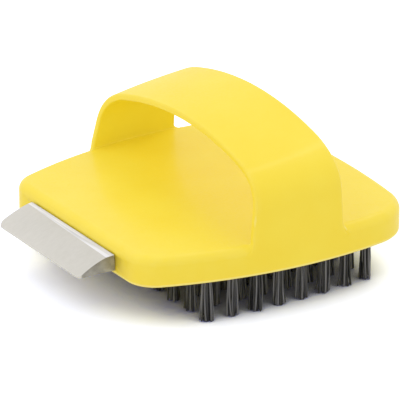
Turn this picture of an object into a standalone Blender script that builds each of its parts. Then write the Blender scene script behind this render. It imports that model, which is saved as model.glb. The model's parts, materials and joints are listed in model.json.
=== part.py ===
"""Oven brush: a moulded block with a strap handle, a wedge scraper and a bed of bristle tufts.

Metres, +Z up. The brush stands on its bristle tips at z = 0, with the origin under the middle
of its overall length. The front is the scraper end (-X), so left is -Y and right is +Y.
"""
import math

import bmesh
import bpy

MM = 0.001
CLEARANCE = 0.3 * MM

# Block, seen from above: flat front end, bulging sides, slightly bulging rear end
BODY_LENGTH = 130.0 * MM
BODY_WIDTH = 132.0 * MM
WIDEST_BEHIND_MIDDLE = 13.5 * MM
SIDE_RADIUS = 192.0 * MM
REAR_END_RADIUS = 333.0 * MM
FRONT_CORNER_RADIUS = 13.0 * MM
REAR_CORNER_RADIUS = 21.0 * MM

# Block, seen from the side
BRISTLE_LENGTH = 18.8 * MM
BODY_THICKNESS = 12.7 * MM
TOP_EDGE_FRONT_RADIUS = 4.2 * MM
TOP_EDGE_REAR_RADIUS = 6.3 * MM
BOTTOM_EDGE_RADIUS = 0.6 * MM

# Strap handle: it rises flush from both sides, and its top climbs towards the rear
STRAP_FRONT_BEFORE_MIDDLE = 20.4 * MM
STRAP_REAR_BEHIND_MIDDLE = 21.9 * MM
STRAP_THICKNESS = 3.2 * MM
STRAP_EDGE_RADIUS = 0.9 * MM
STRAP_FOOT_FILLET = 2.8 * MM
FRONT_EDGE_LEAN = 0.16
FRONT_CROWN_HEIGHT = 35.7 * MM
REAR_CROWN_HEIGHT = 40.8 * MM
FRONT_SHOULDER_DROP = 10.9 * MM
REAR_SHOULDER_DROP = 13.4 * MM
FRONT_LEG_LEAN = 0.15
REAR_LEG_LEAN = 0.054
LEG_BEND = 13.4 * MM
FRONT_CROWN_BEND = 13.4 * MM
REAR_CROWN_BEND = 15.7 * MM

# Bristle bed: the underside pocket on each side of a middle rib, and the tufts in it
BED_ROOF_THICKNESS = 4.7 * MM
BED_WALL = 2.4 * MM
BED_RIB_WIDTH = 4.0 * MM
TUFT_COLUMNS = 8
TUFT_ROWS_PER_SIDE = 5
FRONT_END_TO_TUFT = 29.1 * MM
REAR_END_TO_TUFT = 23.2 * MM
TUFT_TO_BED_EDGE_FRONT = 0.5 * MM
TUFT_TO_BED_EDGE_REAR = 4.9 * MM
ROWS_FLATTER_THAN_SIDE = 1.3 * MM
RIB_TO_TUFT_SHARE = 0.32
STRANDS_ROUND_TUFT = 5
STRAND_SIDES = 3
STRAND_RADIUS = 0.65 * MM
STRAND_ROOT_GAP = 0.29 * MM
TUFT_SPLAY = 0.75 * MM
TIP_CUT = 0.5 * MM
TUFT_TURN = math.radians(137.5)

# Scraper wedge on the front end, with the tang that holds it
SCRAPER_WIDTH = 65.0 * MM
SCRAPER_REACH = 17.3 * MM
SCRAPER_ABOVE_UNDERSIDE = 2.1 * MM
SCRAPER_BELOW_TOP = 3.9 * MM
SCRAPER_STRIP = 3.0 * MM
SCRAPER_STRIP_FALL = 0.3 * MM
SCRAPER_LIP = 1.3 * MM
SCRAPER_CROWN = 0.45 * MM
SCRAPER_CORNER_RADIUS = 3.5 * MM
TANG_SHOULDER = 6.5 * MM
TANG_THICKNESS = 3.0 * MM
TANG_ROOT = 2.0 * MM
TANG_TO_BED = 4.5 * MM

# Self-tapping screws, driven up from the underside through the tang
SCREW_TO_TANG_SIDE = 9.0 * MM
SCREW_TOP_COVER = 1.3 * MM
SCREW_RADIUS = 1.5 * MM
SCREW_POINT = 1.5 * MM
SCREW_POINT_RADIUS = 0.4 * MM
SCREW_HEAD_OVERHANG = 1.4 * MM
SCREW_HEAD_HEIGHT = 1.4 * MM
SCREW_HEAD_SINK = 0.2 * MM
SCREW_RECESS_ARM = 1.6 * MM
SCREW_RECESS_SLOT = 0.7 * MM
SCREW_RECESS_DEPTH = 0.8 * MM

# Fineness of the curved surfaces
CORNER_STEPS = 7
SIDE_STEPS_FRONT = 5
SIDE_STEPS_REAR = 4
REAR_END_STEPS = 4
STRAP_WIDTH_STEPS = 8
STRAP_EDGE_STEPS = 2
TOP_EDGE_STEPS = 4
BOTTOM_EDGE_STEPS = 2
FOOT_FILLET_STEPS = 4
FOOT_DRAW_POWER = 1.5
LEG_STEPS = 3
BEND_STEPS = 7
CROWN_STEPS = 7
SLOPE_STEPS = 5
LIP_CORNER_STEPS = 4
SCREW_SIDES = 20
SMOOTH_ANGLE = math.radians(35.0)
ROUNDING_SHARE = 0.85

# Places that follow from the sizes above
SIDES = (-1.0, "left"), (1.0, "right")
BODY_MIDDLE_X = SCRAPER_REACH / 2.0
BODY_FRONT_X = BODY_MIDDLE_X - BODY_LENGTH / 2.0
BODY_REAR_X = BODY_MIDDLE_X + BODY_LENGTH / 2.0
UNDERSIDE_Z = BRISTLE_LENGTH
TOP_Z = UNDERSIDE_Z + BODY_THICKNESS
CUT_START_Z = UNDERSIDE_Z - BOTTOM_EDGE_RADIUS

STRAP_FRONT_X = BODY_MIDDLE_X - STRAP_FRONT_BEFORE_MIDDLE
STRAP_REAR_X = BODY_MIDDLE_X + STRAP_REAR_BEHIND_MIDDLE
STRAP_WIDTH = STRAP_REAR_X - STRAP_FRONT_X
STRAP_EDGE = min(STRAP_EDGE_RADIUS, ROUNDING_SHARE * STRAP_THICKNESS / 2.0)
TOP_EDGE_LIMIT = ROUNDING_SHARE * min(
    BODY_THICKNESS - BOTTOM_EDGE_RADIUS, FRONT_CORNER_RADIUS, REAR_CORNER_RADIUS)

SIDE_CENTRE = (BODY_MIDDLE_X + WIDEST_BEHIND_MIDDLE, BODY_WIDTH / 2.0 - SIDE_RADIUS)
REAR_END_CENTRE = (BODY_REAR_X - REAR_END_RADIUS, 0.0)

COLUMN_PITCH = (BODY_LENGTH - FRONT_END_TO_TUFT - REAR_END_TO_TUFT) / (TUFT_COLUMNS - 1)
FIRST_COLUMN_X = BODY_FRONT_X + FRONT_END_TO_TUFT
BED_FRONT_X = FIRST_COLUMN_X - COLUMN_PITCH / 2.0 - CLEARANCE
BED_REAR_X = BED_FRONT_X + TUFT_COLUMNS * COLUMN_PITCH + 2.0 * CLEARANCE
BED_ROOF_Z = TOP_Z - BED_ROOF_THICKNESS
TUFT_ROOT_RING = (2.0 * STRAND_RADIUS + STRAND_ROOT_GAP) / (2.0 * math.sin(math.pi / STRANDS_ROUND_TUFT))
TUFT_RADIUS = TUFT_ROOT_RING + STRAND_RADIUS

SCRAPER_BACK_X = BODY_FRONT_X - CLEARANCE
SCRAPER_TIP_X = BODY_FRONT_X - SCRAPER_REACH
SCRAPER_STRIP_X = SCRAPER_BACK_X - SCRAPER_STRIP
SCRAPER_BASE_Z = UNDERSIDE_Z + SCRAPER_ABOVE_UNDERSIDE
SCRAPER_TOP_Z = TOP_Z - SCRAPER_BELOW_TOP
TANG_END_X = BED_FRONT_X - TANG_TO_BED
TANG_HALF_WIDTH = SCRAPER_WIDTH / 2.0 - TANG_SHOULDER
TANG_BASE_Z = (SCRAPER_BASE_Z + SCRAPER_TOP_Z - TANG_THICKNESS) / 2.0
TANG_TOP_Z = TANG_BASE_Z + TANG_THICKNESS

SCREW_X = (BODY_FRONT_X + TANG_END_X) / 2.0
SCREW_OFFSET_Y = TANG_HALF_WIDTH - SCREW_TO_TANG_SIDE
SCREW_HEAD_RADIUS = SCREW_RADIUS + SCREW_HEAD_OVERHANG
SCREW_FACE_Z = UNDERSIDE_Z + SCREW_HEAD_SINK
SCREW_SEAT_Z = SCREW_FACE_Z + SCREW_HEAD_HEIGHT
SCREW_TIP_Z = TOP_Z - SCREW_TOP_COVER - CLEARANCE


def mix(start, end, share):
    return start + (end - start) * share


def quarter_round(radius, steps):
    """Places round a quarter circle: the way that is left along one arm, and gone along the other."""
    places = []
    for i in range(steps + 1):
        angle = math.radians(90.0) * i / steps
        places.append((radius * (1.0 - math.sin(angle)), radius * (1.0 - math.cos(angle))))
    return places


def corner_centre(first, first_radius, second, second_radius):
    """Centre of a corner arc: the place at the two given distances from two arc centres."""
    across = second[0] - first[0], second[1] - first[1]
    apart = math.hypot(*across)
    along = (apart ** 2 + first_radius ** 2 - second_radius ** 2) / (2.0 * apart)
    aside = math.sqrt(first_radius ** 2 - along ** 2)
    unit = across[0] / apart, across[1] / apart
    return first[0] + unit[0] * along - unit[1] * aside, first[1] + unit[1] * along + unit[0] * aside


def front_corner_centre():
    x = BODY_FRONT_X + FRONT_CORNER_RADIUS
    reach = SIDE_RADIUS - FRONT_CORNER_RADIUS
    return x, SIDE_CENTRE[1] + math.sqrt(reach ** 2 - (x - SIDE_CENTRE[0]) ** 2)


FRONT_CORNER = front_corner_centre()
REAR_CORNER = corner_centre(
    REAR_END_CENTRE, REAR_END_RADIUS - REAR_CORNER_RADIUS,
    SIDE_CENTRE, SIDE_RADIUS - REAR_CORNER_RADIUS)


def direction(start, end):
    return math.atan2(end[1] - start[1], end[0] - start[0])


FRONT_TANGENT = direction(SIDE_CENTRE, FRONT_CORNER)
REAR_TANGENT = direction(SIDE_CENTRE, REAR_CORNER)
REAR_END_TANGENT = direction(REAR_END_CENTRE, REAR_CORNER)


def half_width_at(x, inset=0.0):
    """Distance from the middle plane to the block's side, or to a line inset from that side."""
    arc = SIDE_CENTRE, SIDE_RADIUS
    front_limit = FRONT_CORNER[0] + (FRONT_CORNER_RADIUS - inset) * math.cos(FRONT_TANGENT)
    rear_limit = REAR_CORNER[0] + (REAR_CORNER_RADIUS - inset) * math.cos(REAR_TANGENT)
    if x < front_limit:
        arc = FRONT_CORNER, FRONT_CORNER_RADIUS
    elif x > rear_limit:
        arc = REAR_CORNER, REAR_CORNER_RADIUS
    centre, radius = arc
    return centre[1] + math.sqrt((radius - inset) ** 2 - (x - centre[0]) ** 2)


def arc_points(centre, radius, start, end, steps):
    """Points with their outward directions along an arc, both ends included."""
    points = []
    for i in range(steps + 1):
        angle = mix(start, end, i / steps)
        out = math.cos(angle), math.sin(angle)
        points.append((centre[0] + radius * out[0], centre[1] + radius * out[1], *out))
    return points


def side_points(xs):
    """Points with their outward directions on the right side arc at the given x."""
    points = []
    for x in xs:
        y = half_width_at(x)
        out = (x - SIDE_CENTRE[0]) / SIDE_RADIUS, (y - SIDE_CENTRE[1]) / SIDE_RADIUS
        points.append((x, y, *out))
    return points


def section_shares():
    """Places across the strap's width and their depth: edge rounding, flat middle, edge rounding."""
    rounding = [(across / STRAP_WIDTH, depth)
                for depth, across in quarter_round(STRAP_EDGE, STRAP_EDGE_STEPS)]
    edge = STRAP_EDGE / STRAP_WIDTH
    between = [(mix(edge, 1.0 - edge, i / STRAP_WIDTH_STEPS), 0.0) for i in range(1, STRAP_WIDTH_STEPS)]
    return rounding + between + [(1.0 - share, depth) for share, depth in reversed(rounding)]


OUTER_SECTION = section_shares()


def foot_x(share):
    """Where a place across the strap meets the block's side, spread by the foot fillet."""
    return STRAP_FRONT_X - STRAP_FOOT_FILLET + share * (STRAP_WIDTH + 2.0 * STRAP_FOOT_FILLET)


def top_edge_at(x):
    """Radius of the block's rounded top edge, which grows towards the rear."""
    along = (x - BODY_FRONT_X) / BODY_LENGTH
    return min(mix(TOP_EDGE_FRONT_RADIUS, TOP_EDGE_REAR_RADIUS, along ** 2), TOP_EDGE_LIMIT)


# The strap's foot reaches in past the rounded edge that it stands on
STRAP_FOOT_DEPTH = max(STRAP_THICKNESS + STRAP_FOOT_FILLET, top_edge_at(foot_x(1.0)) / ROUNDING_SHARE)


def half_outline():
    """Right half of the block's outline from front to rear, and the range the strap foot takes."""
    front_corner = arc_points(
        FRONT_CORNER, FRONT_CORNER_RADIUS, math.pi, FRONT_TANGENT, CORNER_STEPS)
    rear_corner = arc_points(
        REAR_CORNER, REAR_CORNER_RADIUS, REAR_TANGENT, REAR_END_TANGENT, CORNER_STEPS)
    foot = side_points([foot_x(share) for share, depth in OUTER_SECTION])
    before = [mix(front_corner[-1][0], foot[0][0], i / SIDE_STEPS_FRONT)
              for i in range(1, SIDE_STEPS_FRONT)]
    behind = [mix(foot[-1][0], rear_corner[0][0], i / SIDE_STEPS_REAR)
              for i in range(1, SIDE_STEPS_REAR)]
    middle_share = 1.0 - 0.5 / REAR_END_STEPS
    rear_end = arc_points(
        REAR_END_CENTRE, REAR_END_RADIUS, REAR_END_TANGENT,
        REAR_END_TANGENT * (1.0 - middle_share), REAR_END_STEPS - 1)[1:]
    outline = front_corner + side_points(before)
    foot_start = len(outline)
    outline += foot
    foot_end = len(outline)
    outline += side_points(behind) + rear_corner + rear_end
    return outline, foot_start, foot_end


def strap_profile(share):
    """Strap's outer line across the block at one place of its width, from left foot to right foot.

    A leaning leg, a soft bend at the shoulder and a flat crown arc, mirrored. Each point is
    (x, y, z) with its outward direction (y, z).
    """
    crown = mix(FRONT_CROWN_HEIGHT, REAR_CROWN_HEIGHT, share)
    drop = mix(FRONT_SHOULDER_DROP, REAR_SHOULDER_DROP, share)
    lean = mix(FRONT_LEG_LEAN, REAR_LEG_LEAN, share)
    crown_bend = mix(FRONT_CROWN_BEND, REAR_CROWN_BEND, share)
    foot = half_width_at(mix(STRAP_FRONT_X, STRAP_REAR_X, share))

    shoulder = crown - drop
    knee = foot - lean * shoulder
    crown_radius = (knee ** 2 + drop ** 2) / (2.0 * drop)
    arc_end = math.asin(knee / crown_radius) - crown_bend / crown_radius
    bend_end = (crown_radius * math.sin(arc_end),
                crown - crown_radius * (1.0 - math.cos(arc_end)))
    leg_bend = min(LEG_BEND, ROUNDING_SHARE * (shoulder - STRAP_FOOT_FILLET)) / math.hypot(lean, 1.0)
    bend_start = knee + lean * leg_bend, shoulder - leg_bend

    half = []
    for i in range(LEG_STEPS):
        z = mix(STRAP_FOOT_FILLET, bend_start[1], i / LEG_STEPS)
        half.append((foot - lean * z, z))
    for i in range(BEND_STEPS):
        t = i / BEND_STEPS
        weights = (1.0 - t) ** 2, 2.0 * t * (1.0 - t), t ** 2
        half.append((weights[0] * bend_start[0] + weights[1] * knee + weights[2] * bend_end[0],
                     weights[0] * bend_start[1] + weights[1] * shoulder + weights[2] * bend_end[1]))
    for i in range(CROWN_STEPS):
        angle = mix(arc_end, 0.0, i / CROWN_STEPS)
        half.append((crown_radius * math.sin(angle), crown - crown_radius * (1.0 - math.cos(angle))))

    line = [(-y, z) for y, z in half] + [(0.0, crown)] + [(y, z) for y, z in reversed(half)]
    points = []
    for i, (y, z) in enumerate(line):
        before = line[max(i - 1, 0)]
        after = line[min(i + 1, len(line) - 1)]
        run = after[0] - before[0], after[1] - before[1]
        length = math.hypot(*run)
        x = mix(STRAP_FRONT_X + FRONT_EDGE_LEAN * z, STRAP_REAR_X, share)
        points.append((x, y, TOP_Z + z, -run[1] / length, run[0] / length))
    return points


def strap_rings():
    """Rounded cross-sections of the strap from left foot to right foot.

    Each ring runs along the outer face, down the rear edge, back along the inner face and up
    the front edge.
    """
    inner = [(share, STRAP_THICKNESS - depth) for share, depth in reversed(OUTER_SECTION)]
    edge_depths = [mix(STRAP_EDGE, STRAP_THICKNESS - STRAP_EDGE, i / (TOP_EDGE_STEPS + 1))
                   for i in range(1, TOP_EDGE_STEPS + 1)]
    section = OUTER_SECTION + [(1.0, depth) for depth in edge_depths]
    section += inner + [(0.0, depth) for depth in reversed(edge_depths)]
    profiles = {share: strap_profile(share) for share, depth in section}
    count = len(profiles[0.0])
    rings = []
    for k in range(count):
        ring = []
        for share, depth in section:
            x, y, z, out_y, out_z = profiles[share][k]
            ring.append((x, y - depth * out_y, z - depth * out_z))
        rings.append(ring)
    return rings


def foot_inner_line(side):
    """Where the strap's inner face and edges meet the block's top, from rear edge to front edge."""
    front = foot_x(0.0)
    rear = foot_x(1.0)
    radius = min(STRAP_EDGE + STRAP_FOOT_FILLET,
                 ROUNDING_SHARE * (STRAP_FOOT_DEPTH - top_edge_at(rear)))
    corner = quarter_round(radius, STRAP_EDGE_STEPS)
    places = [(rear - along, lift) for lift, along in corner]
    places += [(mix(rear - radius, front + radius, i / STRAP_WIDTH_STEPS), 0.0)
               for i in range(1, STRAP_WIDTH_STEPS)]
    places += [(front + along, lift) for lift, along in reversed(corner)]
    points = side_points([x for x, lift in places])
    insets = [STRAP_FOOT_DEPTH - lift for x, lift in places]
    return [(x - nx * inset, side * (y - ny * inset), TOP_Z)
            for (x, y, nx, ny), inset in zip(points, insets)]


def leg_face_y(x, z):
    """Outer face of a leg near its foot: the block's side, which bends softly into the lean."""
    share = min(max((x - STRAP_FRONT_X) / STRAP_WIDTH, 0.0), 1.0)
    lean = mix(FRONT_LEG_LEAN, REAR_LEG_LEAN, share)
    bend = top_edge_at(x) + STRAP_FOOT_FILLET
    gone = max(z - TOP_Z + top_edge_at(x), 0.0) / bend
    return half_width_at(x) - lean * STRAP_FOOT_FILLET * gone ** (bend / STRAP_FOOT_FILLET)


def foot_rings(base, ring, side):
    """Rings between a foot's line on the block and the strap's first section.

    Every line leaves along the block's surface and arrives along the leg, and its depth behind
    the leg's outer face is drawn in on the way.
    """
    rings = []
    for k in range(1, FOOT_FILLET_STEPS):
        share = k / FOOT_FILLET_STEPS
        spread = 1.0 - math.sin(math.radians(90.0) * share)
        climb = 1.0 - math.cos(math.radians(90.0) * share)
        draw = math.sin(math.radians(90.0) * share ** FOOT_DRAW_POWER)
        points = []
        for (low_x, low_y, low_z), (high_x, high_y, high_z) in zip(base, ring):
            x = mix(high_x, low_x, spread)
            z = mix(low_z, high_z, climb)
            depth = mix(leg_face_y(low_x, low_z) - side * low_y,
                        leg_face_y(high_x, high_z) - side * high_y, draw)
            points.append((x, side * (leg_face_y(x, z) - depth), z))
        rings.append(points)
    return rings


def close_strip(bm, first, second, closed):
    """Quads between two rows of corners."""
    count = len(first)
    for i in range(count if closed else count - 1):
        j = (i + 1) % count
        bm.faces.new((first[i], first[j], second[j], second[i]))


def finish_mesh(bm, name):
    bmesh.ops.recalc_face_normals(bm, faces=bm.faces)
    mesh = bpy.data.meshes.new(name)
    bm.to_mesh(mesh)
    bm.free()
    return mesh


def finish(name, colour, roughness, metallic=0.0):
    material = bpy.data.materials.new(name)
    material.use_nodes = True
    shader = material.node_tree.nodes["Principled BSDF"]
    shader.inputs["Base Color"].default_value = (*colour, 1.0)
    shader.inputs["Roughness"].default_value = roughness
    shader.inputs["Metallic"].default_value = metallic
    material.diffuse_color = (*colour, 1.0)
    return material


def add_object(name, mesh, materials=(), smooth=False):
    thing = bpy.data.objects.new(name, mesh)
    bpy.context.scene.collection.objects.link(thing)
    for material in materials:
        mesh.materials.append(material)
    if smooth:
        mesh.shade_smooth()
        mesh.set_sharp_from_angle(angle=SMOOTH_ANGLE)
    return thing


def combine(target, tool, operation):
    """Cut or join a piece with a hidden helper shape."""
    tool.hide_render = True
    tool.display_type = "WIRE"
    modifier = target.modifiers.new(tool.name, "BOOLEAN")
    modifier.operation = operation
    modifier.solver = "EXACT"
    modifier.object = tool
    tool.parent = target


def prism_mesh(name, outline, bottom, top):
    """Upright solid between two heights over a flat outline."""
    bm = bmesh.new()
    low = [bm.verts.new((x, y, bottom)) for x, y in outline]
    high = [bm.verts.new((x, y, top)) for x, y in outline]
    bm.faces.new(low)
    bm.faces.new(high)
    close_strip(bm, low, high, closed=True)
    return finish_mesh(bm, name)


def turned_mesh(name, x, y, profile):
    """Solid of revolution about an upright line, closed by a flat face at each end."""
    bm = bmesh.new()
    rings = []
    for radius, z in profile:
        ring = []
        for i in range(SCREW_SIDES):
            angle = math.tau * i / SCREW_SIDES
            ring.append(bm.verts.new((x + radius * math.cos(angle), y + radius * math.sin(angle), z)))
        rings.append(ring)
    for first, second in zip(rings, rings[1:]):
        close_strip(bm, first, second, closed=True)
    bm.faces.new(rings[0])
    bm.faces.new(rings[-1])
    return finish_mesh(bm, name)


def box_outline(x_low, x_high, half_width):
    return [(x_low, -half_width), (x_high, -half_width), (x_high, half_width), (x_low, half_width)]


def body_mesh():
    """Block and strap as one skin.

    The block's wall is a stack of outline rings. Its rounded top edge is two open strips, before
    and behind the strap, and the strap's foot rings close the openings between them.
    """
    outline, foot_start, foot_end = half_outline()
    bm = bmesh.new()

    def wall_ring(inset, z, points):
        left = [bm.verts.new((x - nx * inset, ny * inset - y, z)) for x, y, nx, ny in points]
        right = [bm.verts.new((x - nx * inset, y - ny * inset, z)) for x, y, nx, ny in points]
        return left, right

    def top_ring(fall, inset, points):
        """Outline ring at one place round the top edge, whose radius is the unit of both sizes."""
        left, right = [], []
        for point in points:
            radius = top_edge_at(point[0])
            pair = wall_ring(inset * radius, TOP_Z - fall * radius, [point])
            left += pair[0]
            right += pair[1]
        return left, right

    def round_front(pair):
        return list(reversed(pair[0])) + pair[1]

    def round_rear(pair):
        return pair[0] + list(reversed(pair[1]))

    levels = [wall_ring(inset, UNDERSIDE_Z + rise, outline)
              for inset, rise in quarter_round(BOTTOM_EDGE_RADIUS, BOTTOM_EDGE_STEPS)]
    levels.append(top_ring(1.0, 0.0, outline))
    for lower, upper in zip(levels, levels[1:]):
        close_strip(bm, round_front(lower), round_front(upper), closed=True)
    bm.faces.new(round_front(levels[0]))

    rim = levels[-1]
    strips = []
    for span, path in ((slice(0, foot_start + 1), round_front),
                       (slice(foot_end - 1, len(outline)), round_rear)):
        rows = [(rim[0][span], rim[1][span])]
        rows += [top_ring(fall, inset, outline[span])
                 for fall, inset in quarter_round(1.0, TOP_EDGE_STEPS)[1:]]
        for lower, upper in zip(rows, rows[1:]):
            close_strip(bm, path(lower), path(upper), closed=False)
        strips.append(rows)
    front_rows, rear_rows = strips

    rings = strap_rings()
    feet = []
    for half, (side, word) in enumerate(SIDES):
        inner = [bm.verts.new(point) for point in foot_inner_line(side)]
        rear_edge = [row[half][0] for row in rear_rows[1:]]
        front_edge = [row[half][-1] for row in reversed(front_rows[1:])]
        feet.append((rim[half][foot_start:foot_end] + rear_edge + inner + front_edge, inner))

    bases = [[vert.co[:] for vert in loop] for loop, inner in feet]
    lines = foot_rings(bases[0], rings[0], SIDES[0][0]) + rings
    lines += reversed(foot_rings(bases[1], rings[-1], SIDES[1][0]))
    loops = [feet[0][0]] + [[bm.verts.new(point) for point in line] for line in lines] + [feet[1][0]]
    for first, second in zip(loops, loops[1:]):
        close_strip(bm, first, second, closed=True)

    front_top = round_front(front_rows[-1])
    rear_top = list(reversed(round_rear(rear_rows[-1])))
    bm.faces.new(front_top + list(reversed(feet[1][1])) + rear_top + feet[0][1])
    return finish_mesh(bm, "body")


def bed_outline(side, x_start, x_end, gap, steps):
    """Plan of the bed, or of a slice of it, on one side of the middle rib."""
    inner = side * (BED_RIB_WIDTH / 2.0 + gap)
    outer = []
    for i in range(steps + 1):
        x = mix(x_start, x_end, i / steps)
        outer.append((x, side * half_width_at(x, BED_WALL + gap)))
    return [(x_start, inner)] + outer + [(x_end, inner)]


def make_body(material):
    """Moulding with the bed pockets, the tang slot and the screw holes cut out of it."""
    body = add_object("body", body_mesh(), [material], smooth=True)
    tools = []
    for side, word in SIDES:
        outline = bed_outline(side, BED_FRONT_X, BED_REAR_X, 0.0, 2 * TUFT_COLUMNS)
        tools.append(prism_mesh(f"cut_bed_{word}", outline, CUT_START_Z, BED_ROOF_Z))

    slot = box_outline(BODY_FRONT_X - CLEARANCE, TANG_END_X + CLEARANCE, TANG_HALF_WIDTH + CLEARANCE)
    tools.append(prism_mesh("cut_tang_slot", slot, TANG_BASE_Z - CLEARANCE, TANG_TOP_Z + CLEARANCE))

    hole = SCREW_RADIUS + CLEARANCE
    sink = SCREW_HEAD_RADIUS + CLEARANCE
    seat = SCREW_SEAT_Z + CLEARANCE
    profile = [(sink, CUT_START_Z), (sink, seat), (hole, seat), (hole, SCREW_TIP_Z + CLEARANCE)]
    for side, word in SIDES:
        tools.append(turned_mesh(f"cut_screw_{word}", SCREW_X, side * SCREW_OFFSET_Y, profile))
    for tool in tools:
        combine(body, add_object(tool.name, tool), "DIFFERENCE")
    return body


def scraper_section(y):
    """Wedge section at one place of its width, its tip drawn back round the front corners."""
    past = max(abs(y) - (SCRAPER_WIDTH / 2.0 - SCRAPER_CORNER_RADIUS), 0.0)
    corner = math.sqrt(max(SCRAPER_CORNER_RADIUS ** 2 - past ** 2, 0.0))
    tip = SCRAPER_TIP_X + SCRAPER_CORNER_RADIUS - corner
    section = [(SCRAPER_BACK_X, SCRAPER_BASE_Z), (tip, SCRAPER_BASE_Z)]
    for i in range(SLOPE_STEPS + 1):
        x = mix(tip, SCRAPER_STRIP_X, i / SLOPE_STEPS)
        share = (x - SCRAPER_TIP_X) / (SCRAPER_STRIP_X - SCRAPER_TIP_X)
        slope = mix(SCRAPER_BASE_Z + SCRAPER_LIP, SCRAPER_TOP_Z - SCRAPER_STRIP_FALL, share)
        section.append((x, slope + 4.0 * SCRAPER_CROWN * share * (1.0 - share)))
    return section + [(SCRAPER_BACK_X, SCRAPER_TOP_Z)]


def make_scraper(material):
    """Wedge lofted across its width, with a drilled tang behind it."""
    stations = [SCRAPER_WIDTH / 2.0 - inset
                for left, inset in quarter_round(SCRAPER_CORNER_RADIUS, LIP_CORNER_STEPS)]
    stations += [-y for y in reversed(stations)]
    bm = bmesh.new()
    rings = [[bm.verts.new((x, y, z)) for x, z in scraper_section(y)] for y in stations]
    for first, second in zip(rings, rings[1:]):
        close_strip(bm, first, second, closed=True)
    bm.faces.new(rings[0])
    bm.faces.new(rings[-1])
    scraper = add_object("scraper", finish_mesh(bm, "scraper"), [material], smooth=True)

    outline = box_outline(SCRAPER_BACK_X - TANG_ROOT, TANG_END_X, TANG_HALF_WIDTH)
    tang = prism_mesh("join_tang", outline, TANG_BASE_Z, TANG_TOP_Z)
    combine(scraper, add_object("join_tang", tang), "UNION")
    hole = SCREW_RADIUS + CLEARANCE
    profile = [(hole, TANG_BASE_Z - CLEARANCE), (hole, TANG_TOP_Z + CLEARANCE)]
    for side, word in SIDES:
        drill = turned_mesh(f"cut_tang_{word}", SCREW_X, side * SCREW_OFFSET_Y, profile)
        combine(scraper, add_object(f"cut_tang_{word}", drill), "DIFFERENCE")
    return scraper


def make_screw(side, word, material):
    """Pan-head screw with a cross recess, its head up in a sink of the underside."""
    name = f"scraper_screw_{word}"
    y = side * SCREW_OFFSET_Y
    profile = [
        (SCREW_HEAD_RADIUS, SCREW_FACE_Z),
        (SCREW_HEAD_RADIUS, SCREW_SEAT_Z),
        (SCREW_RADIUS, SCREW_SEAT_Z),
        (SCREW_RADIUS, SCREW_TIP_Z - SCREW_POINT),
        (SCREW_POINT_RADIUS, SCREW_TIP_Z),
    ]
    screw = add_object(name, turned_mesh(name, SCREW_X, y, profile), [material], smooth=True)
    slot = SCREW_RECESS_SLOT / 2.0
    arm = [(SCREW_RECESS_ARM, -slot), (SCREW_RECESS_ARM, slot), (slot, slot)]
    cross = []
    for cos, sin in ((1, 0), (0, 1), (-1, 0), (0, -1)):
        cross += [(SCREW_X + a * cos - b * sin, y + a * sin + b * cos) for a, b in arm]
    recess = prism_mesh(f"cut_cross_{word}", cross, SCREW_FACE_Z - SCREW_RECESS_DEPTH,
                        SCREW_FACE_Z + SCREW_RECESS_DEPTH)
    combine(screw, add_object(f"cut_cross_{word}", recess), "DIFFERENCE")
    return screw


def tuft_centre(column, row, side):
    """Rows share out the bed's width at each column, and bow a little less than the block's side."""
    x = FIRST_COLUMN_X + column * COLUMN_PITCH
    rib = BED_RIB_WIDTH / 2.0
    along = column / (TUFT_COLUMNS - 1.0)
    margin = mix(TUFT_TO_BED_EDGE_FRONT, TUFT_TO_BED_EDGE_REAR, along)
    margin += 4.0 * ROWS_FLATTER_THAN_SIDE * along * (1.0 - along)
    outermost = half_width_at(x, BED_WALL + CLEARANCE) - TUFT_RADIUS - margin
    share = (row + RIB_TO_TUFT_SHARE) / (TUFT_ROWS_PER_SIDE - 1.0 + RIB_TO_TUFT_SHARE)
    return x, side * mix(rib, outermost, share)


def strand_places(turn):
    """Root, tip and facing of each strand round its tuft's centre: a middle one and a ring.

    The ring spreads towards points a little below the floor, and is cut flat at the floor.
    """
    cut_share = BRISTLE_LENGTH / (BRISTLE_LENGTH + TIP_CUT)
    places = [(0.0, 0.0, turn)]
    for i in range(STRANDS_ROUND_TUFT):
        angle = turn + math.tau * i / STRANDS_ROUND_TUFT
        places.append((TUFT_ROOT_RING, TUFT_ROOT_RING + TUFT_SPLAY * cut_share, angle))
    return places


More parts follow.
